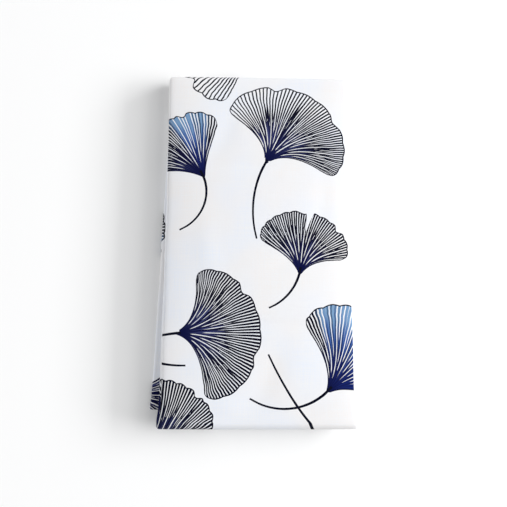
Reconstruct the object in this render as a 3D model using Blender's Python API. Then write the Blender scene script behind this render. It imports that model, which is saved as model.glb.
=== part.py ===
"""A square cotton furoshiki cloth, folded into a flat packet that lies on a table.

The cloth is doubled, the doubled cloth is folded back and forth in thirds into a strip, and the
strip is folded in thirds: a lower third, an upper third and one tucked between them. The solid is
the doubled cloth, with its two plies as one sheet. X runs across the packet and Y from its near
end to its far end.
"""

import math

import bmesh
import bpy
import numpy as np

MM = 0.001

# The packet between its folds, before it settles
PACKET_WIDTH = 125 * MM
PACKET_LENGTH = 245 * MM

# The doubled cloth, and the air between its layers and between the thirds
SHEET = 1.12 * MM
LAYER_GAP = 0.38 * MM
THIRD_GAP = 0.45 * MM
LAYER_PITCH = SHEET + LAYER_GAP
STRIP_DEPTH = 2 * LAYER_PITCH + SHEET
THIRD_PITCH = STRIP_DEPTH + THIRD_GAP

# Across the strip: the inner fold stops short of the doubled edge, and the hems lie inside
INNER_FOLD_SETBACK = 0.8 * MM
HEM_SETBACK = 23 * MM
LEFT_FOLD_RADIUS = LAYER_PITCH
RIGHT_FOLD_RADIUS = LAYER_PITCH / 2

# Along the strip: two turns, and two free ends that stop short of the turns
FAR_RADIUS = THIRD_PITCH
NEAR_RADIUS = THIRD_PITCH / 2
LOWER_SETBACK = 9.5 * MM
TUCKED_SETBACK = 18 * MM
LOWER_HEIGHT = STRIP_DEPTH / 2
TUCKED_HEIGHT = LOWER_HEIGHT + THIRD_PITCH
UPPER_HEIGHT = TUCKED_HEIGHT + THIRD_PITCH
FAR_CENTRE = PACKET_LENGTH / 2 - FAR_RADIUS - STRIP_DEPTH / 2
NEAR_CENTRE = -PACKET_LENGTH / 2 + NEAR_RADIUS + STRIP_DEPTH / 2

LOWER_START = -PACKET_LENGTH / 2 + LOWER_SETBACK
LOWER_RUN = FAR_CENTRE - LOWER_START
FAR_TURN = math.pi * FAR_RADIUS
UPPER_RUN = FAR_CENTRE - NEAR_CENTRE
NEAR_TURN = math.pi * NEAR_RADIUS
TUCKED_RUN = FAR_CENTRE - TUCKED_SETBACK - NEAR_CENTRE

# How the strip lies, a row for each place along it: the length of strip since the last place, the
# drift to the right, and the turn on the table in radians
LAY = [
    {"place": "lower third, free end", "step": 0.0, "drift": -7.7 * MM, "turn": -0.035},
    {"place": "lower third, far turn", "step": LOWER_RUN, "drift": -0.4 * MM, "turn": -0.012},
    {"place": "upper third, far turn", "step": FAR_TURN, "drift": 0.0, "turn": 0.0},
    {"place": "upper third, near turn", "step": UPPER_RUN, "drift": 0.0, "turn": 0.0},
    {"place": "tucked third, near turn", "step": NEAR_TURN, "drift": -1.7 * MM, "turn": 0.0},
    {"place": "tucked third, free end", "step": TUCKED_RUN, "drift": -0.6 * MM, "turn": 0.006},
]
LAY_LENGTHS = np.cumsum([row["step"] for row in LAY])

# How the packet settles: it swells in the middle, thins at its edges, and spreads at its ends. The
# far end leans to the right and slants across
CROWN = 0.15
EDGE_THINNING = 0.07
EDGE_POWER = 6
NEAR_SPREAD = 0.034
NEAR_REACH = 0.17
FAR_SPREAD = 0.026
FAR_REACH = 0.75
FAR_LEAN = 0.9 * MM
FAR_SLANT = 0.0125

# Facets, for each run and fold across the strip and for each row of LAY after the first
RUN_STEPS = {"outer": 12, "inner": 9, "hem": 8}
FOLD_STEPS = {"left": 8, "right": 6, "doubled edge": 4}
LAY_STEPS = [11, 8, 12, 8, 9]

SHARP_ANGLE = math.radians(50)

COTTON = (0.86, 0.87, 0.90, 1.0)
COTTON_ROUGHNESS = 0.85


def clear_scene():
    for obj in list(bpy.data.objects):
        bpy.data.objects.remove(obj, do_unlink=True)


def cotton_material():
    material = bpy.data.materials.new("printed_cotton")
    material.use_nodes = True
    shader = material.node_tree.nodes["Principled BSDF"]
    shader.inputs["Base Color"].default_value = COTTON
    shader.inputs["Roughness"].default_value = COTTON_ROUGHNESS
    shader.inputs["Metallic"].default_value = 0.0
    material.diffuse_color = COTTON
    return material


def straight(start, end, height, facing, steps):
    """A level run of the sheet's middle line: each point with the way its outer side faces."""
    return [(x, height, 0.0, facing) for x in np.linspace(start, end, steps + 1)]


def fold(centre, height, radius, start_angle, steps):
    """A half turn of the sheet's middle line, anticlockwise, without its two end points."""
    angles = [start_angle + math.pi * step / steps for step in range(1, steps)]
    return [
        (centre + radius * math.cos(a), height + radius * math.sin(a), math.cos(a), math.sin(a))
        for a in angles
    ]


def strip_section():
    """The outline of the doubled cloth folded in thirds, as points across and up the strip."""
    inner = SHEET / 2
    middle = inner + LAYER_PITCH
    outer = middle + LAYER_PITCH
    left = -PACKET_WIDTH / 2 + SHEET / 2 + LEFT_FOLD_RADIUS
    doubled_edge = PACKET_WIDTH / 2 - SHEET / 2
    right = doubled_edge - INNER_FOLD_SETBACK - RIGHT_FOLD_RADIUS
    hem = -PACKET_WIDTH / 2 + HEM_SETBACK
    line = (
        straight(doubled_edge, left, outer, 1.0, RUN_STEPS["outer"])
        + fold(left, middle, LEFT_FOLD_RADIUS, math.pi / 2, FOLD_STEPS["left"])
        + straight(left, right, inner, -1.0, RUN_STEPS["inner"])
        + fold(right, inner + RIGHT_FOLD_RADIUS, RIGHT_FOLD_RADIUS, -math.pi / 2, FOLD_STEPS["right"])
        + straight(right, hem, middle, 1.0, RUN_STEPS["hem"])
    )
    outer_side = [(x + nx * SHEET / 2, w + nw * SHEET / 2) for x, w, nx, nw in line]
    inner_side = [(x - nx * SHEET / 2, w - nw * SHEET / 2) for x, w, nx, nw in reversed(line)]
    edge_steps = FOLD_STEPS["doubled edge"]
    edge = [(x, w) for x, w, _, _ in fold(doubled_edge, outer, SHEET / 2, -math.pi / 2, edge_steps)]
    return outer_side + inner_side + edge


def lay_stations():
    """The places along the strip where its section stands."""
    stations = [0.0]
    for end, steps in zip(LAY_LENGTHS[1:], LAY_STEPS):
        stations += list(np.linspace(stations[-1], end, steps + 1))[1:]
    return stations


def strip_middle(along):
    """Where the strip's middle runs in Y and Z, and the angle that its outer side faces."""
    if along <= LOWER_RUN:
        return LOWER_START + along, LOWER_HEIGHT, -math.pi / 2
    along -= LOWER_RUN
    if along <= FAR_TURN:
        angle = along / FAR_RADIUS - math.pi / 2
        return (
            FAR_CENTRE + FAR_RADIUS * math.cos(angle),
            TUCKED_HEIGHT + FAR_RADIUS * math.sin(angle),
            angle,
        )
    along -= FAR_TURN
    if along <= UPPER_RUN:
        return FAR_CENTRE - along, UPPER_HEIGHT, math.pi / 2
    along -= UPPER_RUN
    if along <= NEAR_TURN:
        angle = along / NEAR_RADIUS + math.pi / 2
        return (
            NEAR_CENTRE + NEAR_RADIUS * math.cos(angle),
            UPPER_HEIGHT - NEAR_RADIUS + NEAR_RADIUS * math.sin(angle),
            angle,
        )
    return NEAR_CENTRE + along - NEAR_TURN, TUCKED_HEIGHT, -math.pi / 2


def laid_in_thirds(across, along, depth):
    """A point of the flat strip, after the strip is laid in thirds."""
    y, z, facing = strip_middle(along)
    out = depth - STRIP_DEPTH / 2
    drift = np.interp(along, LAY_LENGTHS, [row["drift"] for row in LAY])
    turn = np.interp(along, LAY_LENGTHS, [row["turn"] for row in LAY])
    return (
        across + drift,
        y + out * math.cos(facing) + turn * across,
        z + out * math.sin(facing),
    )


def settled(x, y, z):
    """The same point once the packet has settled under its own weight."""
    side = 2 * x / PACKET_WIDTH
    end = 2 * y / PACKET_LENGTH
    swell = CROWN * max(0.0, 1 - side**2) * max(0.0, 1 - end**2)
    thinning = EDGE_THINNING * (min(1.0, abs(side)) ** EDGE_POWER + min(1.0, abs(end)) ** EDGE_POWER)
    near = max(0.0, (-end - 1) / NEAR_REACH + 1)
    far = max(0.0, (end - 1) / FAR_REACH + 1)
    spread = NEAR_SPREAD * near**2 + FAR_SPREAD * far**2
    slant = FAR_SLANT * (end + 1) / 2
    return x * (1 + spread) + FAR_LEAN * far**2, y - slant * x, z * (1 + swell - thinning)


def folded_cloth():
    """The section pushed along the strip, then laid in thirds and settled."""
    stations = lay_stations()
    shape = bmesh.new()
    start = shape.faces.new([shape.verts.new((x, stations[0], w)) for x, w in strip_section()])
    end = start
    for station in stations[1:]:
        pushed = bmesh.ops.extrude_face_region(shape, geom=[end, *end.edges])["geom"]
        end = next(part for part in pushed if isinstance(part, bmesh.types.BMFace))
        for vert in end.verts:
            vert.co.y = station
    bmesh.ops.triangulate(shape, faces=[start, end])
    for vert in shape.verts:
        vert.co = settled(*laid_in_thirds(*vert.co))
    bmesh.ops.recalc_face_normals(shape, faces=shape.faces)
    if shape.calc_volume(signed=True) < 0:
        bmesh.ops.reverse_faces(shape, faces=shape.faces)
    return shape


def stand_on_origin(shape):
    """Moves the origin to the middle of the packet's footprint."""
    corners = np.array([vert.co for vert in shape.verts])
    low, high = corners.min(axis=0), corners.max(axis=0)
    middle = ((low[0] + high[0]) / 2, (low[1] + high[1]) / 2, low[2])
    bmesh.ops.translate(shape, verts=shape.verts, vec=[-value for value in middle])


def main():
    clear_scene()
    collection = bpy.data.collections.new("furoshiki_wrap")
    bpy.context.scene.collection.children.link(collection)
    shape = folded_cloth()
    stand_on_origin(shape)
    mesh = bpy.data.meshes.new("folded_cloth")
    shape.to_mesh(mesh)
    shape.free()
    mesh.materials.append(cotton_material())
    mesh.shade_smooth()
    mesh.set_sharp_from_angle(angle=SHARP_ANGLE)
    collection.objects.link(bpy.data.objects.new("folded_cloth", mesh))


main()
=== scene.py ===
import math

import bpy
import numpy as np
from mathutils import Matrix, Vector


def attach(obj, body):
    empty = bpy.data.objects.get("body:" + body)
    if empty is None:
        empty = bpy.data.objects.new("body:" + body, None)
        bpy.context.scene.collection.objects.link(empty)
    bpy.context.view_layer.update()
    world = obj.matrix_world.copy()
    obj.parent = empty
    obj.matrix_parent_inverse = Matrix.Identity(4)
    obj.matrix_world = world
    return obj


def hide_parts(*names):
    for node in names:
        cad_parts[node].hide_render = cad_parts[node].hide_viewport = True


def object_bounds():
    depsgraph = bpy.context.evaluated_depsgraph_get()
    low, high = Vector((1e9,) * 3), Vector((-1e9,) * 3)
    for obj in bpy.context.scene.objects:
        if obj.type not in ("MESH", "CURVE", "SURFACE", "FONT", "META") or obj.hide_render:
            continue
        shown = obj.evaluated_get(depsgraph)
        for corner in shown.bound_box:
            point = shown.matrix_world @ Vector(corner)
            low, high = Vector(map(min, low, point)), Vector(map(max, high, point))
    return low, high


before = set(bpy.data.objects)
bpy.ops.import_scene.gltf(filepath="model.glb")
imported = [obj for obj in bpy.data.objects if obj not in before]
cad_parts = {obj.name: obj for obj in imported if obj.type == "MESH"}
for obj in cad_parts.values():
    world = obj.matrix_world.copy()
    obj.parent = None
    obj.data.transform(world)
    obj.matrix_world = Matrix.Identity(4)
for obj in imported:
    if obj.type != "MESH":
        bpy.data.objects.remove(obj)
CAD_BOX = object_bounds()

MM = 0.001

# The packet between its folds, before it settles. These sizes and those down to the settling are
# the solid's own
PACKET_WIDTH = 125 * MM
PACKET_LENGTH = 245 * MM

# The doubled cloth, and the air between its layers and between the thirds
SHEET = 1.12 * MM
LAYER_GAP = 0.38 * MM
THIRD_GAP = 0.45 * MM
LAYER_PITCH = SHEET + LAYER_GAP
STRIP_DEPTH = 2 * LAYER_PITCH + SHEET
THIRD_PITCH = STRIP_DEPTH + THIRD_GAP

# Across the strip: the inner fold stops short of the doubled edge, and the hems lie inside
INNER_FOLD_SETBACK = 0.8 * MM
HEM_SETBACK = 23 * MM
LEFT_FOLD_RADIUS = LAYER_PITCH
RIGHT_FOLD_RADIUS = LAYER_PITCH / 2

# Along the strip: two turns, and two free ends that stop short of the turns
FAR_RADIUS = THIRD_PITCH
NEAR_RADIUS = THIRD_PITCH / 2
LOWER_SETBACK = 9.5 * MM
TUCKED_SETBACK = 18 * MM
LOWER_HEIGHT = STRIP_DEPTH / 2
TUCKED_HEIGHT = LOWER_HEIGHT + THIRD_PITCH
UPPER_HEIGHT = TUCKED_HEIGHT + THIRD_PITCH
FAR_CENTRE = PACKET_LENGTH / 2 - FAR_RADIUS - STRIP_DEPTH / 2
NEAR_CENTRE = -PACKET_LENGTH / 2 + NEAR_RADIUS + STRIP_DEPTH / 2
LOWER_START = -PACKET_LENGTH / 2 + LOWER_SETBACK
LOWER_RUN = FAR_CENTRE - LOWER_START
FAR_TURN = math.pi * FAR_RADIUS
UPPER_RUN = FAR_CENTRE - NEAR_CENTRE
NEAR_TURN = math.pi * NEAR_RADIUS
TUCKED_RUN = FAR_CENTRE - TUCKED_SETBACK - NEAR_CENTRE

# How the strip lies, from the lower third's free end to the tucked third's: the places along it,
# the drift to the right there, and the turn on the table in radians
LAY_LENGTHS = np.cumsum([0.0, LOWER_RUN, FAR_TURN, UPPER_RUN, NEAR_TURN, TUCKED_RUN])
LAY_DRIFT = [-7.7 * MM, -0.4 * MM, 0.0, 0.0, -1.7 * MM, -0.6 * MM]
LAY_TURN = [-0.035, -0.012, 0.0, 0.0, 0.0, 0.006]

# How the packet settles: it swells in the middle, thins at its edges, and spreads at its ends. The
# far end leans to the right and slants across
CROWN = 0.15
EDGE_THINNING = 0.07
EDGE_POWER = 6
NEAR_SPREAD = 0.034
NEAR_REACH = 0.17
FAR_SPREAD = 0.026
FAR_REACH = 0.75
FAR_LEAN = 0.9 * MM
FAR_SLANT = 0.0125

# The flat cloth, one of its plies, how far that lies from the middle of the doubled sheet, its hems,
# and how far the settled cloth wavers
PLY = 0.40 * MM
PLY_OFFSET = (SHEET - PLY) / 2
HEM_WIDTH = 6 * MM
HEM_THICKENING = 1.55
WAVER = 0.12 * MM

# The quads across the upper ply and the lower one, for the top run, the bottom run, the run to the
# hem and each fold, then round the doubled edge, and along each stretch of the strip
UPPER_PLY_STEPS = (52, 26, 18, 10)
LOWER_PLY_STEPS = (26, 20, 14, 8)
EDGE_STEPS = 6
ROW_STEPS = (60, 16, 98, 14, 26)

# Where the print's own X and Y are zero: the doubled edge, and the middle of the upper third
PRINT_X = PACKET_WIDTH / 2 - SHEET / 2
PRINT_Y = FAR_CENTRE + LOWER_RUN + FAR_TURN

# Cotton and ink colours. The cool and warm whites are painted light: cool and warm casts of the light on
# the cotton
WHITE_PAINTED_COOL_LIGHT = (0.762, 0.802, 0.884)
WHITE_PAINTED_WARM_LIGHT = (0.825, 0.800, 0.792)
WHITE_THREAD = (0.815, 0.822, 0.842)
WASH_PALE = (0.16, 0.29, 0.48)
WASH_MIDDLE = (0.040, 0.100, 0.32)
WASH_DEEP = (0.004, 0.012, 0.11)
INK_BLACK = (0.0010, 0.0018, 0.0110)
INK_NAVY = (0.0012, 0.0028, 0.042)
INK_INDIGO = (0.050, 0.060, 0.180)
PRINT_SHOWING_THROUGH = 0.12

# The weave and the hem's stitches, in mm: their pitches, the stitches' distance from the edge, and
# how high threads, slubs and stitches stand and how deep the seam lies
THREAD_PITCH = 0.42
STITCH_INSET = 5.0
STITCH_PITCH = 3.2
THREAD_HEIGHT = 0.020
SLUB_HEIGHT = 0.07
STITCH_HEIGHT = 0.28
SEAM_DEPTH = 0.12
BUMP_STRENGTH = 0.55

# The cotton's finish: its roughness, what slubs add to it, and its faint gloss and sheen
ROUGHNESS = 0.80
SLUB_ROUGHNESS = 0.12
GLOSS = 0.05
SHEEN = 0.05
SHEEN_ROUGHNESS = 0.5

# How the leaves are drawn: the rounding of their ends, and the widths and depths of their features
# as shares of the half spread and of the reach. The rest is in mm: the corners' radius, the width
# over which an edge of ink fades, the same for the outline, and the outline's reach in those widths
ROUND_ENDS = 0.10
NOTCH_WIDTH = 0.10
NOTCH_DEPTH = 0.045
SPLIT_WIDTH = 0.06
PLUME_WIDTH = 0.16
CORNER_RADIUS = 2.6
INK_EDGE = 0.10
OUTLINE_EDGE = 0.14
OUTLINE_REACH = 3.6

# White between the veins: in one of so many gaps and starting at which, how wide in mm those gaps are
# together where it starts, and how far it keeps back from the leaf's solid base
WHITE_FIELDS = [
    {"every": 8, "first": 0, "wide": 1.2, "share": 0.15},
    {"every": 4, "first": 0, "wide": 1.15, "share": 0.3},
    {"every": 4, "first": 2, "wide": 2.0, "share": 0.75},
    {"every": 1, "first": 0, "wide": 0.85, "share": 1.0},
]

# A face belongs to a leaf up to that many times its own outline
LEAF_LIMIT = 1.6

# Stems, in mm: their widths at the leaf and at the free end, how far inside the leaf they start, how
# far off they are looked for, and the half width that stands for no stem
STEM_WIDTHS = (1.8, 1.15)
STEM_ROOT = 6
STEM_POINTS = 7
CURVE_STEPS = 24
STEM_MARGIN = 9
STEM_REGION = 5.0
NO_STEM = -60.0

FLOOR_COLOUR = (0.93, 0.93, 0.93, 1.0)
FLOOR_ROUGHNESS = 0.9
FLOOR_HEIGHT = -0.05 * MM
FLOOR_HALF = 3.0

# Soft lights, each turned from the right to the back, in degrees, metres and watts
PANEL_DISTANCE = 5.0
PANELS = [
    {"name": "key", "height": 14.5, "turn": 5, "size": (4.4, 0.95), "watts": 352},
    {"name": "key_middle", "height": 28, "turn": 5, "size": (4.4, 1.5), "watts": 112},
    {"name": "key_high", "height": 46, "turn": 0, "size": (3.6, 1.6), "watts": 40},
    {"name": "overhead", "height": 86, "turn": 0, "size": (2.6, 2.6), "watts": 33},
    {"name": "fill", "height": 9, "turn": 176, "size": (2.6, 0.8), "watts": 95},
]
WORLD_COLOUR = (0.98, 0.99, 1.0, 1.0)
WORLD_STRENGTH = 0.31

# The camera, for an image 507 pixels wide
IMAGE_WIDTH = 507
FOCAL_PIXELS = 500
SENSOR_WIDTH = 36
CAMERA_PLACE = (0.6 * MM, -68.2 * MM, 344.5 * MM)
CAMERA_TILT = math.radians(10.1)


def arc(centre, height, radius, start_angle, steps):
    """A half turn of the sheet's middle line without its two end points: x, w, nx and nw."""
    angles = start_angle + math.pi * np.arange(1, steps) / steps
    return np.column_stack([
        centre + radius * np.cos(angles), height + radius * np.sin(angles),
        np.cos(angles), np.sin(angles),
    ])


def run(start, end, height, facing, steps):
    """A level run of the sheet's middle line: x, w, nx and nw, the way its outer side faces."""
    x = np.linspace(start, end, steps + 1)
    return np.column_stack([x, np.full_like(x, height), 0 * x, np.full_like(x, facing)])


def sheet_line(top_steps, bottom_steps, hem_steps, fold_steps):
    """The doubled sheet's middle line from its doubled edge to its hems: x, w, nx, nw and length."""
    inner = SHEET / 2
    middle = inner + LAYER_PITCH
    outer = middle + LAYER_PITCH
    left = -PACKET_WIDTH / 2 + SHEET / 2 + LEFT_FOLD_RADIUS
    edge = PACKET_WIDTH / 2 - SHEET / 2
    right = edge - INNER_FOLD_SETBACK - RIGHT_FOLD_RADIUS
    hem = -PACKET_WIDTH / 2 + HEM_SETBACK
    line = np.vstack([
        run(edge, left, outer, 1.0, top_steps),
        arc(left, middle, LEFT_FOLD_RADIUS, math.pi / 2, fold_steps),
        run(left, right, inner, -1.0, bottom_steps),
        arc(right, inner + RIGHT_FOLD_RADIUS, RIGHT_FOLD_RADIUS, -math.pi / 2, fold_steps),
        run(right, hem, middle, 1.0, hem_steps),
    ])
    gaps = np.hypot(np.diff(line[:, 0]), np.diff(line[:, 1]))
    return np.column_stack([line, np.concatenate([[0.0], np.cumsum(gaps)])])


def cloth_columns():
    """Both plies, hem to hem: x, w, the way the printed side faces and the place across the flat
    cloth."""
    over = sheet_line(*UPPER_PLY_STEPS)
    under = sheet_line(*LOWER_PLY_STEPS)
    turn = np.pi * np.arange(1, EDGE_STEPS) / EDGE_STEPS
    edge_x, edge_w = over[0, 0], over[0, 1]
    fold = np.column_stack([
        edge_x + PLY_OFFSET * np.sin(turn), edge_w + PLY_OFFSET * np.cos(turn),
        np.sin(turn), np.cos(turn), PLY_OFFSET * turn,
    ])
    outer = over.copy()
    outer[:, :2] += outer[:, 2:4] * PLY_OFFSET
    outer[:, 4] *= -1
    inner = under.copy()
    inner[:, 2:4] *= -1
    inner[:, :2] += inner[:, 2:4] * PLY_OFFSET
    inner[:, 4] += PLY_OFFSET * np.pi
    return np.vstack([outer[::-1], fold, inner])


def cloth_rows():
    """The places along the strip where the cloth has a row of points."""
    rows = [0.0]
    for end, count in zip(LAY_LENGTHS[1:], ROW_STEPS):
        rows += list(np.linspace(rows[-1], end, count + 1))[1:]
    return np.array(rows)


def strip_middle(along):
    """Where the strip's middle runs in Y and Z, and the angle that its outer side faces."""
    ends = LAY_LENGTHS
    far = (along - ends[1]) / FAR_RADIUS - math.pi / 2
    near = (along - ends[3]) / NEAR_RADIUS + math.pi / 2
    place = np.searchsorted(ends[1:5], along)
    y = np.choose(place, [
        LOWER_START + along,
        FAR_CENTRE + FAR_RADIUS * np.cos(far),
        FAR_CENTRE - (along - ends[2]),
        NEAR_CENTRE + NEAR_RADIUS * np.cos(near),
        NEAR_CENTRE + along - ends[4],
    ])
    z = np.choose(place, [
        0 * along + LOWER_HEIGHT,
        TUCKED_HEIGHT + FAR_RADIUS * np.sin(far),
        0 * along + UPPER_HEIGHT,
        UPPER_HEIGHT - NEAR_RADIUS + NEAR_RADIUS * np.sin(near),
        0 * along + TUCKED_HEIGHT,
    ])
    facing = np.choose(place, [
        0 * along - math.pi / 2, far, 0 * along + math.pi / 2, near, 0 * along - math.pi / 2,
    ])
    return y, z, facing


def laid_in_thirds(across, along, depth):
    """Points of the flat strip, after the strip is laid in thirds."""
    y, z, facing = strip_middle(along)
    out = depth - STRIP_DEPTH / 2
    drift = np.interp(along, LAY_LENGTHS, LAY_DRIFT)
    turn = np.interp(along, LAY_LENGTHS, LAY_TURN)
    return across + drift, y + out * np.cos(facing) + turn * across, z + out * np.sin(facing)


# Soft troughs and ridges of the top, in mm and degrees: where each is, how long and wide, which way
# it runs, how much it bows, and how high it stands
CREASES = [
    {"x": 6, "y": -92, "length": 50, "width": 17, "way": 62, "bow": 4, "height": -0.45},
    {"x": 34, "y": -110, "length": 26, "width": 4, "way": 8, "bow": 6, "height": -0.16},
    {"x": -20, "y": -108, "length": 34, "width": 10, "way": -12, "bow": -4, "height": 0.22},
    {"x": -22, "y": 76, "length": 46, "width": 14, "way": 70, "bow": 3, "height": -0.30},
    {"x": 14, "y": 96, "length": 54, "width": 13, "way": -20, "bow": -3, "height": 0.20},
    {"x": -6, "y": 54, "length": 105, "width": 8, "way": 1, "bow": 0.6, "height": -0.30},
    {"x": 0, "y": -55, "length": 110, "width": 7, "way": -1, "bow": -0.5, "height": -0.25},
    {"x": 44, "y": 20, "length": 64, "width": 12, "way": 84, "bow": 2, "height": -0.25},
    {"x": -34, "y": -4, "length": 58, "width": 15, "way": 96, "bow": -2, "height": 0.26},
    {"x": 20, "y": -14, "length": 40, "width": 10, "way": 30, "bow": 5, "height": -0.22},
]


def crease_height(x, y):
    """How far the creases lift the top here."""
    total = 0 * x
    for crease in CREASES:
        way = math.radians(crease["way"])
        dx, dy = x - crease["x"] * MM, y - crease["y"] * MM
        along = dx * math.cos(way) + dy * math.sin(way)
        across = dy * math.cos(way) - dx * math.sin(way) - crease["bow"] * along**2
        shape = np.exp(-((along / (crease["length"] * MM / 2)) ** 2) * 1.3
                       - (across / (crease["width"] * MM / 2)) ** 2)
        total = total + crease["height"] * MM * shape
    return total


def settled(x, y, z):
    """The same points once the packet has settled, with its creases and a slight waver."""
    side = 2 * x / PACKET_WIDTH
    end = 2 * y / PACKET_LENGTH
    swell = CROWN * np.maximum(0, 1 - side**2) * np.maximum(0, 1 - end**2)
    thinning = EDGE_THINNING * (np.minimum(1, abs(side)) ** EDGE_POWER
                                + np.minimum(1, abs(end)) ** EDGE_POWER)
    near = np.maximum(0, (-end - 1) / NEAR_REACH + 1)
    far = np.maximum(0, (end - 1) / FAR_REACH + 1)
    spread = NEAR_SPREAD * near**2 + FAR_SPREAD * far**2
    slant = FAR_SLANT * (end + 1) / 2
    height = z / (3 * THIRD_PITCH)
    waver = WAVER * (np.sin(y / MM * 0.11 + 3 * height) + np.sin(y / MM * 0.047 + 1.7 - 5 * height))
    new_z = z * (1 + swell - thinning) + crease_height(x, y) * height**2
    return x * (1 + spread) + FAR_LEAN * far**2 + waver * side, y - slant * x, new_z


def cloth_shape():
    """The cloth as points and quads, its printed side, its back and the rim between them, with each
    point's place on the flat cloth, its distance from the hem's edge, and the faces on the back."""
    columns, rows = cloth_columns(), cloth_rows()
    from_hem = columns[:, 4] - columns[0, 4]
    hem_u = np.minimum(from_hem, from_hem[-1] - from_hem)
    hem_v = np.minimum(rows, rows[-1] - rows)
    from_edge = np.minimum(hem_u[:, None], hem_v[None, :])
    thick = PLY / 2 * np.where(from_edge < HEM_WIDTH, HEM_THICKENING, 1.0)

    # The printed side and the back, folded and settled
    sides = []
    for side in (1, -1):
        x = columns[:, 0:1] + columns[:, 2:3] * thick * side
        w = columns[:, 1:2] + columns[:, 3:4] * thick * side
        along = np.broadcast_to(rows[None, :], x.shape)
        sides.append(np.stack(settled(*laid_in_thirds(x, along, w)), axis=-1).reshape(-1, 3))
    points = np.concatenate(sides)

    # Centred over the solid, and standing as low as it does
    low, high = points.min(axis=0), points.max(axis=0)
    cad_low, cad_high = (np.array(corner) for corner in CAD_BOX)
    shift = (cad_low + cad_high - low - high) / 2
    shift[2] = cad_low[2] - low[2]
    points += shift

    # The quads of both sides and of the rim between them
    count = len(columns) * len(rows)
    index = np.arange(count).reshape(len(columns), len(rows))
    front = np.stack([index[:-1, :-1], index[:-1, 1:], index[1:, 1:], index[1:, :-1]], axis=-1)
    front = front.reshape(-1, 4)
    back = front[:, ::-1] + count
    border = np.concatenate([index[:, 0], index[-1, 1:], index[-2::-1, -1], index[0, -2:0:-1]])
    after = np.roll(border, -1)
    rim = np.stack([border, after, after + count, border + count], axis=-1)

    # Each point's place on the flat cloth
    flat = np.stack(np.meshgrid(PRINT_X + columns[:, 4], PRINT_Y - rows, indexing="ij"), axis=-1)
    flat = np.tile(flat.reshape(-1, 2), (2, 1))
    edge = np.tile(from_edge.reshape(-1), 2)
    unprinted = np.repeat([0.0, 1.0, 0.0], [len(front), len(back), len(rim)])
    return points, np.concatenate([front, back, rim]), flat, edge, unprinted


# The forms that the print's leaves take: half the spread in degrees, how open the base is, how much
# shorter the ends are, the veins, how far the base is solid, half a line's width in mm, the pitch in
# veins and the depth of the scallops, two notches and three darker plumes
FORMS = {
    "broad": {"spread": 68, "open": 0.08, "bow": 0.15, "veins": 62, "solid": 0.18, "line": 0.48,
              "scallop": (6.0, 0.012), "notches": (0.38, -0.30), "plumes": (0.48, 0.02, -0.60)},
    "fan": {"spread": 60, "open": 0.32, "bow": 0.12, "veins": 50, "solid": 0.22, "line": 0.56,
            "scallop": (4.0, 0.018), "notches": (0.14, -0.45), "plumes": (0.62, -0.18, -0.72)},
    "slim": {"spread": 48, "open": 0.60, "bow": 0.06, "veins": 40, "solid": 0.30, "line": 0.58,
             "scallop": (3.5, 0.022), "notches": (0.42, -0.34), "plumes": (0.70, 0.24, -0.45)},
}


def leaf(form, x, y, way, reach, **features):
    """A leaf of the print, in mm and degrees on the flat cloth from the middle of the upper third: its
    form, where its base is, the way it points and its reach. Its features are how much it bends to
    its left, how much longer its left side is, how much its veins crowd to its left, how dark it is,
    how blue it is and from where to where, a split's depth and place, its stem's length and turn, and
    any number that it has in place of its form's."""
    plain = {"bend": 0, "lean": 0.0, "crowd": 0.0, "dark": 1.0, "blue": (0.0, 0.0, 0.0),
             "split": (0.0, 0.0), "stem": None}
    return {"x": x, "y": y, "way": way, "reach": reach, **plain, **FORMS[form], **features}


LEAVES = [
    leaf("broad", 4, 52, 60, 62, bend=-5, crowd=-0.35, dark=1.15, line=0.44, stem=(52, 45)),
    leaf("slim", -36, 44, 122, 50, bend=5, crowd=0.2, dark=1.2, blue=(1.0, -0.8, -0.1), stem=(44, -100)),
    leaf("slim", 10, 150, 184, 68, bend=6, veins=34, solid=0.05, dark=0.4, line=0.42),
    leaf("broad", -56, -62, 5, 58, lean=-0.04, dark=1.3, line=0.60, stem=(24, 12)),
    leaf("slim", -64, -142, 74, 50, lean=0.06, solid=0.50, dark=1.3, line=0.68),
    leaf("fan", 44, -100, 48, 60, crowd=-0.2, dark=0.7, line=0.70, blue=(1.4, -1.2, 0.75), stem=(52, -80)),
    leaf("fan", 28, -24, 82, 44, bend=-6, lean=0.05, crowd=0.2, split=(0.3, 0.05), stem=(30, -60)),
    leaf("slim", -48, 350, 180, 60, spread=34, veins=13, solid=0.05, dark=0.75),
    leaf("slim", -73, -127, 266, 27, spread=42, veins=14, solid=0.1, dark=0.8),
    leaf("broad", 30, 286, 96, 60, bend=8, lean=-0.05, crowd=0.2, split=(0.3, 0.0), stem=(36, 40)),
    leaf("fan", -14, 236, 158, 52, blue=(1.0, -0.9, 0.2), stem=(38, 55)),
    leaf("broad", 26, 196, 20, 50, stem=(38, -35)),
    leaf("fan", 46, -176, 118, 48, blue=(0.9, -0.3, 0.8)),
]


def stem(x, y, way, length, turn):
    """A stem that starts there in mm, sets off that way and turns by so many degrees in its length."""
    headings = np.radians(way + turn * (np.arange(STEM_POINTS) + 0.5) / STEM_POINTS)
    steps = np.column_stack([np.cos(headings), np.sin(headings)]) * length / STEM_POINTS
    through = np.vstack([[x, y], np.array([x, y]) + np.cumsum(steps, axis=0)])
    return {"through": through, "widths": STEM_WIDTHS}


def leaf_stem(row):
    """The stem of a leaf. It starts in the leaf's solid base."""
    way = math.radians(row["way"])
    length, turn = row["stem"]
    x, y = row["x"] + STEM_ROOT * math.cos(way), row["y"] + STEM_ROOT * math.sin(way)
    return stem(x, y, row["way"] + 180, length + STEM_ROOT, turn)


# Stems of the leaves, and of one that lies round the left fold. The second list crosses the first
STEMS = [leaf_stem(row) for row in LEAVES if row["stem"]]
STEMS.append(stem(-74, -78, 340, 28, 22))
CROSSING_STEMS = [stem(44, -132, 131, 68, -16)]


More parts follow.
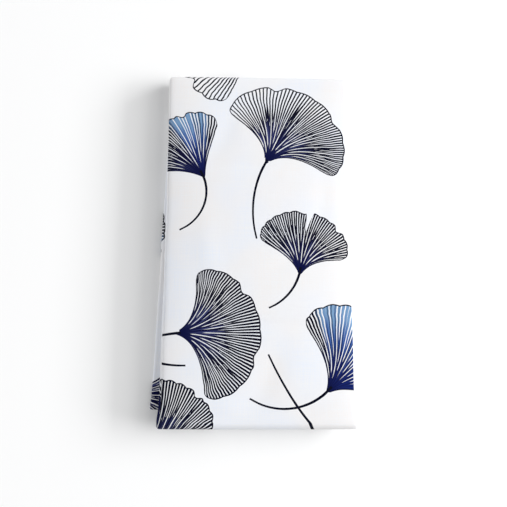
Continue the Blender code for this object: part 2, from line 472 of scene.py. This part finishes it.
def leaf_place(row, x, y):
    """Where points of the flat cloth, in mm, lie in a leaf: its own x and y, and the shares of its
    half spread and of its reach."""
    way = math.radians(row["way"])
    dx, dy = x - row["x"], y - row["y"]
    local_x = dx * math.cos(way) + dy * math.sin(way)
    local_y = dy * math.cos(way) - dx * math.sin(way)
    r = np.hypot(local_x, local_y)
    q = np.minimum(r / row["reach"], 1)
    opening = row["open"] + (1 - row["open"]) * q * (2 - q)
    turned = np.arctan2(local_y, local_x) - math.radians(row["bend"]) * q
    share = turned / (math.radians(row["spread"]) * np.maximum(opening, 0.02))
    rim = 1 + row["lean"] * share - row["bow"] * share**2 - ROUND_ENDS * share**6
    return local_x, local_y, abs(share), r / (row["reach"] * np.clip(rim, 0.3, 1.3))


def smooth_line(points):
    """A smooth curve through the points, as many short straight steps."""
    padded = np.vstack([2 * points[0] - points[1], points, 2 * points[-1] - points[-2]])
    t = np.arange(CURVE_STEPS)[:, None] / CURVE_STEPS
    curve = []
    for a, b, c, d in zip(padded, padded[1:], padded[2:], padded[3:]):
        curve.append(0.5 * (2 * b + (c - a) * t + (2 * a - 5 * b + 4 * c - d) * t**2
                            + (3 * b - a - 3 * c + d) * t**3))
    return np.vstack(curve + [points[-1:]])


def stem_place(stems, flat):
    """For each point: how far along its nearest stem it is, how far to its side, and half that
    stem's width there, in mm. Along is from 0 to 1 on the stem."""
    found = np.tile([0.5, STEM_MARGIN, NO_STEM], (len(flat), 1))
    nearest = np.full(len(flat), STEM_REGION)
    for row in stems:
        curve = smooth_line(row["through"])
        steps = np.diff(curve, axis=0)
        lengths = np.hypot(steps[:, 0], steps[:, 1])
        total = lengths.sum()
        before = np.concatenate([[0.0], np.cumsum(lengths)])[:-1]
        inside = (flat > curve.min(axis=0) - STEM_MARGIN) & (flat < curve.max(axis=0) + STEM_MARGIN)
        close = np.flatnonzero(inside.all(axis=1))
        offset = flat[close, None, :] - curve[None, :-1, :]
        way = steps / lengths[:, None]
        ahead = offset[..., 0] * way[:, 0] + offset[..., 1] * way[:, 1]
        aside = offset[..., 1] * way[:, 0] - offset[..., 0] * way[:, 1]
        beyond = ahead - np.clip(ahead, 0, lengths)
        gap = np.hypot(beyond, aside)
        best = gap.argmin(axis=1)
        pick = np.arange(len(close))
        along = (before[best] + ahead[pick, best]) / total
        start, end = row["widths"]
        half = (start + (end - start) * np.clip(along, 0, 1)) / 2
        better = gap[pick, best] < nearest[close]
        where = close[better]
        nearest[where] = gap[pick, best][better]
        found[where] = np.column_stack([along, aside[pick, best], half])[better]
    return found


class Value:
    """A number in the shader. Sums on it add Math nodes."""

    def __init__(self, tree, socket):
        self.tree = tree
        self.socket = socket

    def math(self, operation, *others, clamp=False):
        node = self.tree.nodes.new("ShaderNodeMath")
        node.operation = operation
        node.use_clamp = clamp
        for slot, item in zip(node.inputs, (self, *others)):
            if isinstance(item, Value):
                self.tree.links.new(item.socket, slot)
            else:
                slot.default_value = item
        return Value(self.tree, node.outputs[0])

    def __add__(self, other):
        return self.math("ADD", other)

    def __sub__(self, other):
        return self.math("SUBTRACT", other)

    def __mul__(self, other):
        return self.math("MULTIPLY", other)

    def __truediv__(self, other):
        return self.math("DIVIDE", other)

    def __pow__(self, other):
        return self.math("POWER", other)

    __radd__ = __add__

    def __rsub__(self, other):
        return (self * -1.0) + other

    def absolute(self):
        return self.math("ABSOLUTE")

    def least(self, other):
        return self.math("MINIMUM", other)

    def most(self, other):
        return self.math("MAXIMUM", other)

    def unit(self):
        return self.math("ADD", 0.0, clamp=True)

    def step(self, low, high):
        """0 below low, 1 above high and smooth between them."""
        node = self.tree.nodes.new("ShaderNodeMapRange")
        node.interpolation_type = "SMOOTHSTEP"
        self.tree.links.new(self.socket, node.inputs["Value"])
        for name, item in (("From Min", low), ("From Max", high)):
            if isinstance(item, Value):
                self.tree.links.new(item.socket, node.inputs[name])
            else:
                node.inputs[name].default_value = item
        return Value(self.tree, node.outputs["Result"])


def attribute(tree, name):
    """The three numbers of an attribute of the mesh."""
    node = tree.nodes.new("ShaderNodeAttribute")
    node.attribute_name = name
    split = tree.nodes.new("ShaderNodeSeparateXYZ")
    tree.links.new(node.outputs["Vector"], split.inputs[0])
    return [Value(tree, out) for out in split.outputs]


def vector(tree, x, y, z=0.0):
    node = tree.nodes.new("ShaderNodeCombineXYZ")
    for slot, item in zip(node.inputs, (x, y, z)):
        if isinstance(item, Value):
            tree.links.new(item.socket, slot)
        else:
            slot.default_value = item
    return node.outputs[0]


def noise(tree, place, scale, detail=2.0):
    """Smooth noise from 0 to 1."""
    node = tree.nodes.new("ShaderNodeTexNoise")
    node.noise_dimensions = "3D"
    node.inputs["Scale"].default_value = scale
    node.inputs["Detail"].default_value = detail
    tree.links.new(place, node.inputs["Vector"])
    return Value(tree, node.outputs["Fac"])


def random_three(tree, x, y):
    """Three numbers from 0 to 1 that stay the same for the same x and y."""
    node = tree.nodes.new("ShaderNodeTexWhiteNoise")
    node.noise_dimensions = "2D"
    tree.links.new(vector(tree, x, y), node.inputs["Vector"])
    split = tree.nodes.new("ShaderNodeSeparateColor")
    tree.links.new(node.outputs["Color"], split.inputs[0])
    return [Value(tree, out) for out in split.outputs]


def mix(tree, factor, first, second):
    """The first colour where the factor is 0 and the second where it is 1."""
    node = tree.nodes.new("ShaderNodeMix")
    node.data_type = "RGBA"
    tree.links.new(factor.socket, node.inputs["Factor"])
    sockets = [socket for socket in node.inputs if socket.type == "RGBA"]
    for slot, item in zip(sockets, (first, second)):
        if isinstance(item, tuple):
            slot.default_value = (*item, 1.0)
        else:
            tree.links.new(item, slot)
    return next(out for out in node.outputs if out.type == "RGBA")


def stem_ink(tree, name):
    """How much ink the nearest stem puts here."""
    along, aside, half = attribute(tree, name)
    wobble = noise(tree, vector(tree, along, 3.0), 9.0) - 0.5
    reach = half * (wobble * 0.3 + 1.0) - aside.absolute()
    ends = along.step(-0.004, 0.004) * (1.0 - along.step(0.996, 1.004))
    return (reach / INK_EDGE + 0.5).unit() * ends


def white_line(tree, field, place, cell, t, seed, filled_to):
    """For one of the white fields: how far this place is from the middle of its gap between veins, in
    mm, how far the white has opened here, and a number that is the gap's own. The white starts where
    the gaps are wide enough together, and past the share of the leaf that ink fills."""
    every, first, wide = field["every"], field["first"], field["wide"]
    number = ((place - (first + 0.5)) / every + 0.5).math("FLOOR")
    off = (place - number * every - (first + 0.5)).absolute() * cell
    when, where, broad = random_three(tree, number, seed + every * 0.7 + first)
    begins = when * 0.5 * wide + wide
    past_fill = filled_to * (where * 0.5 + 0.5)
    opened = (cell * every).step(begins, begins + wide * 0.6) * t.step(past_fill, past_fill + 0.20)
    return off, opened, broad


def bell(value, centre, width):
    """1 at the centre, and 0 from that far off."""
    return 1.0 - ((value - centre).absolute() / width).step(0.0, 1.0)


def leaf_ink(tree):
    """How much ink a leaf has here, how blue the ink is, and the shares of the way from its base to
    its rim and of its grain."""
    x, y, _ = attribute(tree, "leaf")
    spread, opening, bend = attribute(tree, "leaf_fan")
    reach, lean, bow = attribute(tree, "leaf_rim")
    veins, crowd, seed = attribute(tree, "leaf_veins")
    plume_one, plume_two, plume_three = attribute(tree, "leaf_plumes")
    blue, blue_from, blue_to = attribute(tree, "leaf_blue")
    scallop, scallop_depth, _ = attribute(tree, "leaf_edge")
    notch_one, notch_two, _ = attribute(tree, "leaf_notch")
    solid, dark, line = attribute(tree, "leaf_tone")
    split, split_at, has_leaf = attribute(tree, "leaf_split")

    # Where this place is in the leaf: s runs across its fan from -1 to 1, place counts the veins, and
    # cell is the gap between two of them in mm
    r = (x * x + y * y) ** 0.5
    q = (r / reach).least(1.0)
    opened = opening + (1.0 - opening) * q * (2.0 - q)
    margin = (noise(tree, vector(tree, r, seed * 7.0), 0.12) - 0.5) * 0.06 * q
    s = (y.math("ARCTAN2", x) - bend * q) / (spread * opened.most(0.02)) * (margin + 1.0)
    place = (s + crowd * (s * s - 1.0) * 0.5 + 1.0) * 0.5 * veins
    cell = r * spread * opened * 2.0 / (veins * (crowd * s + 1.0))

    # The veins waver as if drawn by hand, most near the base
    hand = (noise(tree, vector(tree, place * 0.22, r * 0.03, seed), 1.0) - 0.5) * 0.9
    place = place + hand * (2.3 - q) / cell.most(2.0)

    # The rim with its scallops, notches and split, and the share t of the way to it
    s2 = s * s
    notch = bell(s, notch_one, NOTCH_WIDTH).most(bell(s, notch_two, NOTCH_WIDTH)) * NOTCH_DEPTH
    scallops = ((place * math.pi / scallop).math("SINE").absolute() - 0.6) * scallop_depth
    cleft = split * bell(s, split_at, SPLIT_WIDTH)
    rim = (1.0 + lean * s - bow * s2 - s2 * s2 * s2 * ROUND_ENDS + scallops - notch - cleft) * reach
    t = r / rim

    # How far ink fills the leaf from its base, and the zone of blue
    grain = noise(tree, vector(tree, place * 1.1, t * 1.6, seed), 1.0, detail=2.0)
    strokes = noise(tree, vector(tree, place * 0.35, t * 0.5, seed * 4.0), 1.0, detail=1.0)
    plume = bell(s, plume_one, PLUME_WIDTH).most(bell(s, plume_two, PLUME_WIDTH))
    plume = plume.most(bell(s, plume_three, PLUME_WIDTH))
    wild = noise(tree, vector(tree, s * 3.4, seed * 5.3, 2.0), 1.7, detail=1.0).step(0.48, 0.62)
    fill = (dark * (plume.most(wild * 0.7) * 0.50 + 0.16) + (strokes - 0.5) * 0.5).least(0.72)
    zone = blue * (s - blue_from).step(-0.06, 0.06) * (1.0 - (s - blue_to).step(-0.06, 0.10))

    # White in the gaps between the veins, with flecks where they start
    thin = (grain * 0.20 + line * (crowd * s * 0.6 + 1.0)).least(cell * 0.31 + 0.05)
    white = 0.0
    for field in WHITE_FIELDS:
        every, share = field["every"], field["share"]
        filled_to = (fill * (plume * 0.45 + share)).least(0.80).most(solid * (share * 0.9 + 0.6))
        off, opening_up, broad = white_line(tree, field, place, cell, t, seed, filled_to)
        if every == 1:
            opening_up = opening_up * (1.0 - zone.least(1.0) * broad.step(0.40, 0.60) * 0.85)
        half = (broad * 0.10 + 0.20).most(cell * 0.5 - thin) * opening_up
        half = half - zone * (half - 0.42).most(0.0) - (zone - 1.0).most(0.0) * (1.0 - t) * 0.22
        white = ((half - off) / INK_EDGE + 0.5 - (1.0 - opening_up) * 0.6).unit().most(white)
    flecks = noise(tree, vector(tree, place * 0.8, t * 9.0, seed * 2.0), 1.0, detail=1.0).step(0.52, 0.60)
    flecks = flecks * cell.step(0.8, 1.1) * (1.0 - zone).most(0.0)
    white = (flecks * 1.7 - 0.1 - off / INK_EDGE).unit().most(white)
    ink = 1.0 - white
    from_vein = (0.5 - (place - place.math("FLOOR") - 0.5).absolute()) * cell
    vein = ((grain * 0.6 - from_vein) / INK_EDGE + 0.5).unit() * strokes.step(0.45, 0.55)

    # The outline, round at the leaf's corners
    to_rim = (CORNER_RADIUS - (rim - r)).most(0.0)
    to_side = (CORNER_RADIUS - (1.0 - s.absolute()) * spread * opened * r).most(0.0)
    depth = (CORNER_RADIUS - (to_rim * to_rim + to_side * to_side) ** 0.5) / OUTLINE_EDGE
    inside = (depth + 0.5).unit()
    outline = (OUTLINE_REACH - depth.absolute()).unit()
    near = (depth + OUTLINE_REACH + 0.1).unit()
    ink = (ink * inside).most(outline * near) * has_leaf
    return ink, zone * inside * (1.0 - outline * near) * (1.0 - vein * 0.8), t, grain


def cloth_material():
    """Matt cotton with its print, its weave and the stitching of its hems."""
    material = bpy.data.materials.new("printed_cotton")
    material.use_nodes = True
    tree = material.node_tree
    shader = tree.nodes["Principled BSDF"]
    u, v, _ = attribute(tree, "flat")
    edge, back, _ = attribute(tree, "cloth_place")

    # In mm from here on
    u, v, edge = u * 1000.0, v * 1000.0, edge * 1000.0
    ink, blue, t, grain = leaf_ink(tree)
    stems = stem_ink(tree, "stem").most(stem_ink(tree, "stem_crossing"))
    showing = 1.0 - back * (1.0 - PRINT_SHOWING_THROUGH)

    # The cotton's colour along its threads, with painted light: cool and warm casts of the light in soft
    # clouds
    painted_light_cast = noise(tree, vector(tree, u, v, 4.0), 0.022, detail=2.0)
    slub_u = noise(tree, vector(tree, u * 0.05, v * 2.2, 1.0), 1.0, detail=2.0)
    slub_v = noise(tree, vector(tree, u * 2.2, v * 0.05, 7.0), 1.0, detail=2.0)
    slubs = (slub_u + slub_v) * 0.5
    # Painted light: soft clouds of cool and warm light cast on the white cotton
    white = mix(tree, painted_light_cast.step(0.35, 0.65), WHITE_PAINTED_COOL_LIGHT, WHITE_PAINTED_WARM_LIGHT)
    white = mix(tree, slubs.step(0.30, 0.70), white, WHITE_THREAD)

    # The ink, dark or in blue washes
    near_base = 1.0 - t.step(0.15, 0.75)
    dark = mix(tree, near_base, INK_BLACK, INK_NAVY)
    speckled = grain.step(0.50, 0.68) * t.step(0.10, 0.40) * near_base.step(0.0, 0.3)
    dark = mix(tree, speckled, dark, INK_INDIGO)
    wash = mix(tree, (t + grain * 0.8).step(0.70, 1.10), WASH_DEEP, WASH_MIDDLE)
    wash = mix(tree, (t + grain * 0.9).step(1.05, 1.40), wash, WASH_PALE)
    inked = mix(tree, blue * (t + grain * 0.3).step(0.15, 0.45), dark, wash)
    inked = mix(tree, stems, inked, INK_BLACK)
    colour = mix(tree, (ink.most(stems) * showing).unit(), white, inked)
    tree.links.new(colour, shader.inputs["Base Color"])

    # The relief of the weave and of the hem's stitches
    pitch = math.pi / THREAD_PITCH
    uneven_u = noise(tree, vector(tree, u * 0.9, v * 0.12, 3.0), 1.0, detail=2.0) * 2.4
    uneven_v = noise(tree, vector(tree, u * 0.12, v * 0.9, 9.0), 1.0, detail=2.0) * 2.4
    warp = (u * pitch + uneven_u).math("SINE")
    weft = (v * pitch + uneven_v).math("SINE")
    over = warp * weft * 0.5 + 0.5
    threads = warp * warp * over + weft * weft * (1.0 - over)
    stitch_line = 1.0 - ((edge - STITCH_INSET).absolute()).step(0.15, 0.45)
    stitch = ((u + v) * (2 * math.pi / STITCH_PITCH)).math("SINE").step(-0.35, 0.1) * stitch_line
    height = threads * THREAD_HEIGHT + slubs * SLUB_HEIGHT
    height = height + stitch * STITCH_HEIGHT - stitch_line * SEAM_DEPTH
    bump = tree.nodes.new("ShaderNodeBump")
    bump.inputs["Strength"].default_value = BUMP_STRENGTH
    bump.inputs["Distance"].default_value = 1 * MM
    tree.links.new(height.socket, bump.inputs["Height"])
    tree.links.new(bump.outputs["Normal"], shader.inputs["Normal"])
    rough = slubs * SLUB_ROUGHNESS + ROUGHNESS
    tree.links.new(rough.socket, shader.inputs["Roughness"])
    shader.inputs["Specular IOR Level"].default_value = GLOSS
    shader.inputs["Sheen Weight"].default_value = SHEEN
    shader.inputs["Sheen Roughness"].default_value = SHEEN_ROUGHNESS
    shader.inputs["Sheen Tint"].default_value = (1.0, 1.0, 1.0, 1.0)
    return material


def nearest_leaves(spots):
    """For each spot of the flat cloth, in mm: the number of its leaf and whether it is near enough."""
    best = np.full(len(spots), np.inf)
    chosen = np.zeros(len(spots), int)
    for number, row in enumerate(LEAVES):
        _, _, share, reach = leaf_place(row, spots[:, 0], spots[:, 1])
        score = np.maximum(share, reach)
        better = score < best
        best[better] = score[better]
        chosen[better] = number
    return chosen, best < LEAF_LIMIT


def leaf_coordinates(spots, numbers):
    """Where each spot lies in the leaf of that number, in mm."""
    local = np.zeros((len(spots), 2))
    for number, row in enumerate(LEAVES):
        mine = numbers == number
        local_x, local_y, _, _ = leaf_place(row, spots[mine, 0], spots[mine, 1])
        local[mine] = np.column_stack([local_x, local_y])
    return local


def add_attribute(mesh, name, domain, values):
    layer = mesh.attributes.new(name, "FLOAT_VECTOR", domain)
    layer.data.foreach_set("vector", np.asarray(values, np.float32).ravel())


def add_cloth():
    """The cloth, with the numbers that its material reads from each point, corner and face."""
    points, faces, flat, edge, unprinted = cloth_shape()
    mesh = bpy.data.meshes.new("furoshiki_cloth")
    mesh.from_pydata(points.tolist(), [], faces.tolist())
    mesh.shade_smooth()
    corners = faces.reshape(-1)
    layer = mesh.uv_layers.new(name="flat")
    layer.uv.foreach_set("vector", flat[corners].astype(np.float32).ravel())

    flat_mm = flat / MM
    chosen, has_leaf = nearest_leaves(flat_mm[faces].mean(axis=1))
    local = leaf_coordinates(flat_mm[corners], np.repeat(chosen, 4))
    layer = mesh.uv_layers.new(name="leaf")
    layer.uv.foreach_set("vector", local.astype(np.float32).ravel())
    mesh.uv_layers.active = mesh.uv_layers["flat"]

    rows = {
        "leaf_fan": [(math.radians(f["spread"]), f["open"], math.radians(f["bend"])) for f in LEAVES],
        "leaf_rim": [(f["reach"], f["lean"], f["bow"]) for f in LEAVES],
        "leaf_veins": [(f["veins"], f["crowd"], n + 1) for n, f in enumerate(LEAVES)],
        "leaf_plumes": [f["plumes"] for f in LEAVES],
        "leaf_blue": [f["blue"] for f in LEAVES],
        "leaf_edge": [(*f["scallop"], 0.0) for f in LEAVES],
        "leaf_notch": [(*f["notches"], 0.0) for f in LEAVES],
        "leaf_tone": [(f["solid"], f["dark"], f["line"]) for f in LEAVES],
    }
    for name, table in rows.items():
        add_attribute(mesh, name, "FACE", np.array(table, float)[chosen])
    splits = np.array([f["split"] for f in LEAVES])[chosen]
    add_attribute(mesh, "leaf_split", "FACE", np.column_stack([splits, has_leaf]))
    for name, stems in (("stem", STEMS), ("stem_crossing", CROSSING_STEMS)):
        add_attribute(mesh, name, "POINT", stem_place(stems, flat_mm))
    place = np.column_stack([edge[corners], np.repeat(unprinted, 4), np.zeros(len(corners))])
    add_attribute(mesh, "cloth_place", "CORNER", place)
    mesh.materials.append(cloth_material())
    cloth = bpy.data.objects.new("furoshiki_cloth", mesh)
    bpy.context.scene.collection.objects.link(cloth)
    return cloth


def add_floor():
    mesh = bpy.data.meshes.new("floor")
    corners = [(x * FLOOR_HALF, y * FLOOR_HALF, 0) for x, y in ((-1, -1), (1, -1), (1, 1), (-1, 1))]
    mesh.from_pydata(corners, [], [(0, 1, 2, 3)])
    material = bpy.data.materials.new("floor_paint")
    material.use_nodes = True
    tree = material.node_tree
    shader = tree.nodes["Principled BSDF"]
    shader.inputs["Base Color"].default_value = FLOOR_COLOUR
    shader.inputs["Roughness"].default_value = FLOOR_ROUGHNESS
    shader.inputs["Specular IOR Level"].default_value = 0.0
    mesh.materials.append(material)
    floor = bpy.data.objects.new("floor", mesh)
    floor.location.z = FLOOR_HEIGHT
    bpy.context.scene.collection.objects.link(floor)
    return floor


def add_panel(name, height, turn, size, watts):
    """A soft light, that many degrees up and turned that far from the right to the back."""
    light = bpy.data.lights.new(name, "AREA")
    light.shape = "RECTANGLE"
    light.size, light.size_y = size
    light.energy = watts
    lamp = bpy.data.objects.new(name, light)
    up, round_z = math.radians(height), math.radians(turn)
    source = Vector((math.cos(up) * math.cos(round_z), math.cos(up) * math.sin(round_z), math.sin(up)))
    lamp.rotation_euler = source.to_track_quat("Z", "Y").to_euler()
    lamp.location = source * PANEL_DISTANCE
    bpy.context.scene.collection.objects.link(lamp)


def add_lights():
    for panel in PANELS:
        add_panel(**panel)
    world = bpy.data.worlds.new("studio")
    world.use_nodes = True
    background = world.node_tree.nodes["Background"]
    background.inputs["Color"].default_value = WORLD_COLOUR
    background.inputs["Strength"].default_value = WORLD_STRENGTH
    bpy.context.scene.world = world
    bpy.context.scene.view_settings.view_transform = "Standard"


def add_camera():
    camera = bpy.data.cameras.new("camera")
    camera.sensor_width = SENSOR_WIDTH
    camera.lens = SENSOR_WIDTH * FOCAL_PIXELS / IMAGE_WIDTH
    camera.clip_start = 0.01
    eye = bpy.data.objects.new("camera", camera)
    eye.location = CAMERA_PLACE
    eye.rotation_euler = (CAMERA_TILT, 0, 0)
    bpy.context.scene.collection.objects.link(eye)
    bpy.context.scene.camera = eye


cloth = add_cloth()
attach(cloth, "root")
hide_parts("folded_cloth")
floor = add_floor()
add_lights()
add_camera()
